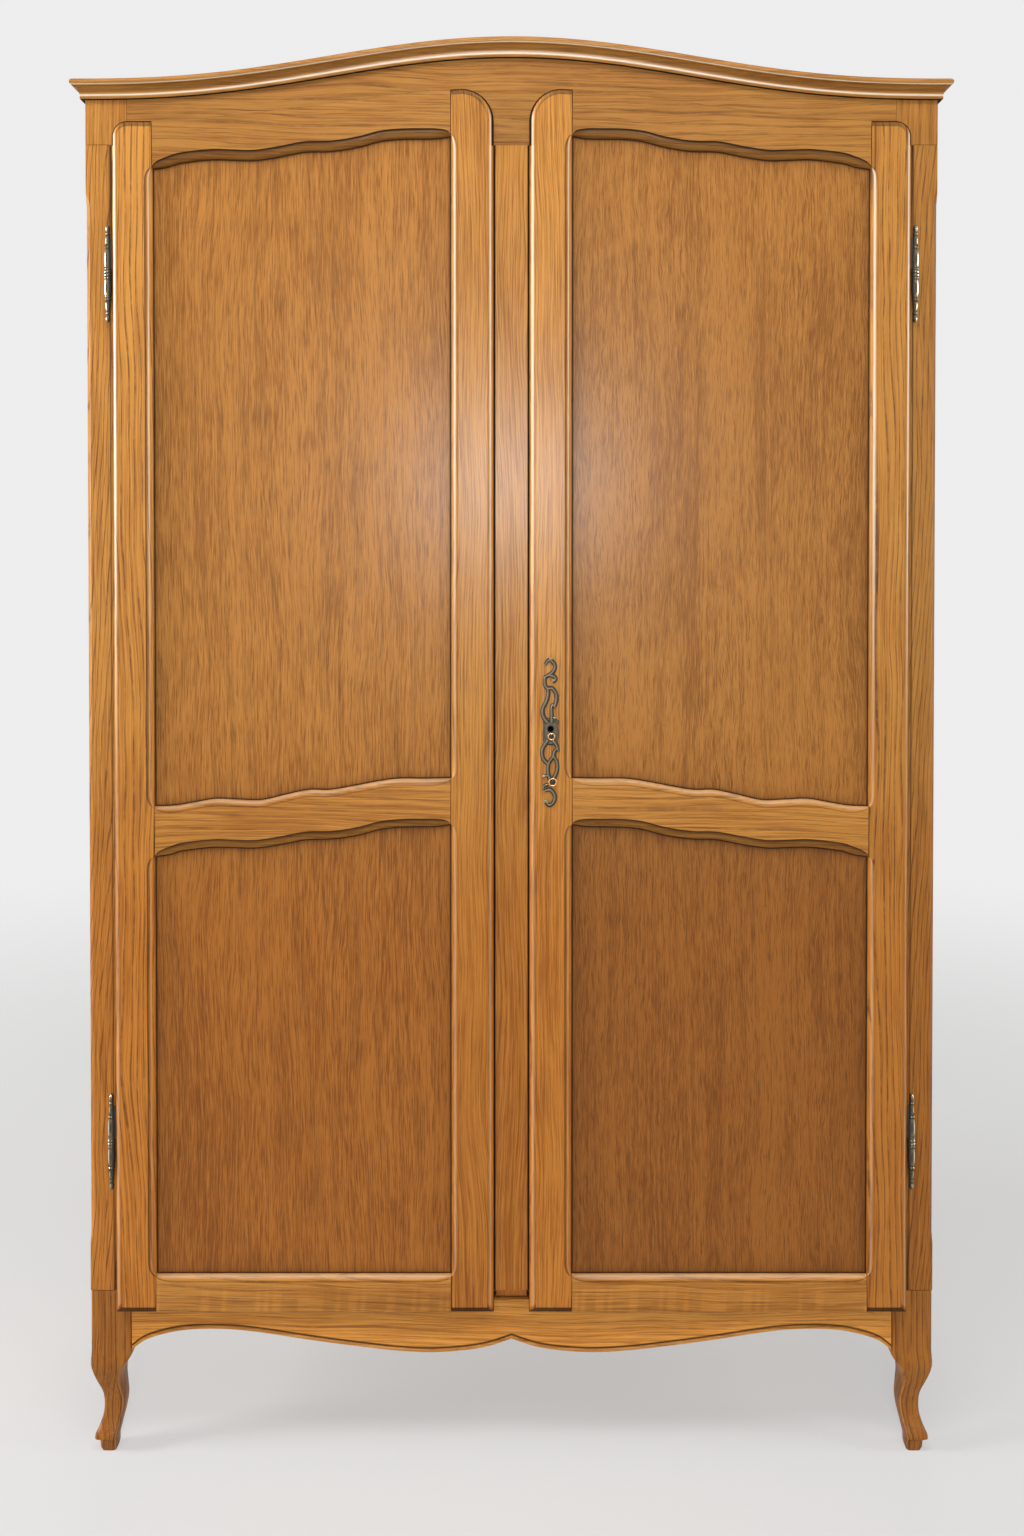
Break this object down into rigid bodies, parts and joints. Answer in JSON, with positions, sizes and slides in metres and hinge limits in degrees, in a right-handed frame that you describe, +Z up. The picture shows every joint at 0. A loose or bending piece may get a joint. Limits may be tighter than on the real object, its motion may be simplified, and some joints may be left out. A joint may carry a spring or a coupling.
{
  "type": "two-door wardrobe",
  "caption": "Free-standing oak wardrobe with an arched cornice, two panelled doors, scalloped apron, cabriole feet, hat shelf and hanging rail.",
  "frame": {"origin": "on the floor, under the middle of the whole wardrobe's box", "axes": "+X to the right as seen from the front, +Y towards the back, +Z up; the doors face -Y"},
  "size_m": [1.261, 0.578, 2.05],
  "materials": {
    "oak_frame": "waxed oak, honey brown, satin gloss",
    "oak_panel": "waxed oak, darker honey brown",
    "oak_inside": "bare oak, matt",
    "brass_hinge": "aged brass",
    "bronze_scroll": "dark patinated bronze",
    "steel_lock": "dull steel"
  },
  "bodies": {
    "carcass": {"cornice_front": "oak_frame", "cornice_side_right": "oak_frame", "cornice_side_left": "oak_frame", "frieze": "oak_frame", "top_corner_right": "oak_frame", "top_corner_left": "oak_frame", "top_side_rail_right": "oak_frame", "top_side_rail_left": "oak_frame", "top_back_rail": "oak_inside", "top_board": "oak_inside", "front_post_right": "oak_frame", "front_post_left": "oak_frame", "back_post_right": "oak_frame", "back_post_left": "oak_frame", "side_panel_right": "oak_panel", "side_panel_left": "oak_panel", "side_mid_rail_right": "oak_frame", "side_mid_rail_left": "oak_frame", "centre_post": "oak_frame", "back_panel": "oak_inside", "front_leg_right": "oak_frame", "front_leg_left": "oak_frame", "back_leg_right": "oak_frame", "back_leg_left": "oak_frame", "front_apron": "oak_frame", "side_apron_right": "oak_frame", "side_apron_left": "oak_frame", "base_back_rail": "oak_inside", "floor_board": "oak_inside", "hat_shelf": "oak_inside", "shelf_cleat_right": "oak_inside", "shelf_cleat_left": "oak_inside", "hanging_rail": "oak_inside", "upper_hinge_frame_half_right": "brass_hinge", "upper_hinge_frame_half_left": "brass_hinge", "lower_hinge_frame_half_right": "brass_hinge", "lower_hinge_frame_half_left": "brass_hinge"},
    "left_door": {"left_stile_outer": "oak_frame", "left_stile_inner": "oak_frame", "left_rail_top": "oak_frame", "left_rail_middle": "oak_frame", "left_rail_bottom": "oak_frame", "left_panel_upper": "oak_panel", "left_panel_lower": "oak_panel", "upper_hinge_door_half_left": "brass_hinge", "lower_hinge_door_half_left": "brass_hinge", "left_bolt_plate": "steel_lock"},
    "right_door": {"right_stile_outer": "oak_frame", "right_stile_inner": "oak_frame", "right_rail_top": "oak_frame", "right_rail_middle": "oak_frame", "right_rail_bottom": "oak_frame", "right_panel_upper": "oak_panel", "right_panel_lower": "oak_panel", "upper_hinge_door_half_right": "brass_hinge", "lower_hinge_door_half_right": "brass_hinge", "escutcheon": "bronze_scroll", "lock_case": "steel_lock"},
    "lock_bolt": {"lock_bolt": "steel_lock"},
    "left_bolt": {"left_bolt": "steel_lock"}
  },
  "joints": [
    {"name": "left_door_hinge", "type": "hinge", "parent": "carcass", "child": "left_door", "pos_m": [-0.579, -0.278, 1], "axis": [0, 0, -1], "range_deg": [0, 110]},
    {"name": "right_door_hinge", "type": "hinge", "parent": "carcass", "child": "right_door", "pos_m": [0.579, -0.278, 1], "axis": [0, 0, 1], "range_deg": [0, 110]},
    {"name": "lock_bolt_slide", "type": "slide", "parent": "right_door", "child": "lock_bolt", "axis": [-1, 0, 0], "range_m": [0, 0.012]},
    {"name": "left_bolt_slide", "type": "slide", "parent": "left_door", "child": "left_bolt", "axis": [0, 0, 1], "range_m": [0, 0.015]}
  ]
}
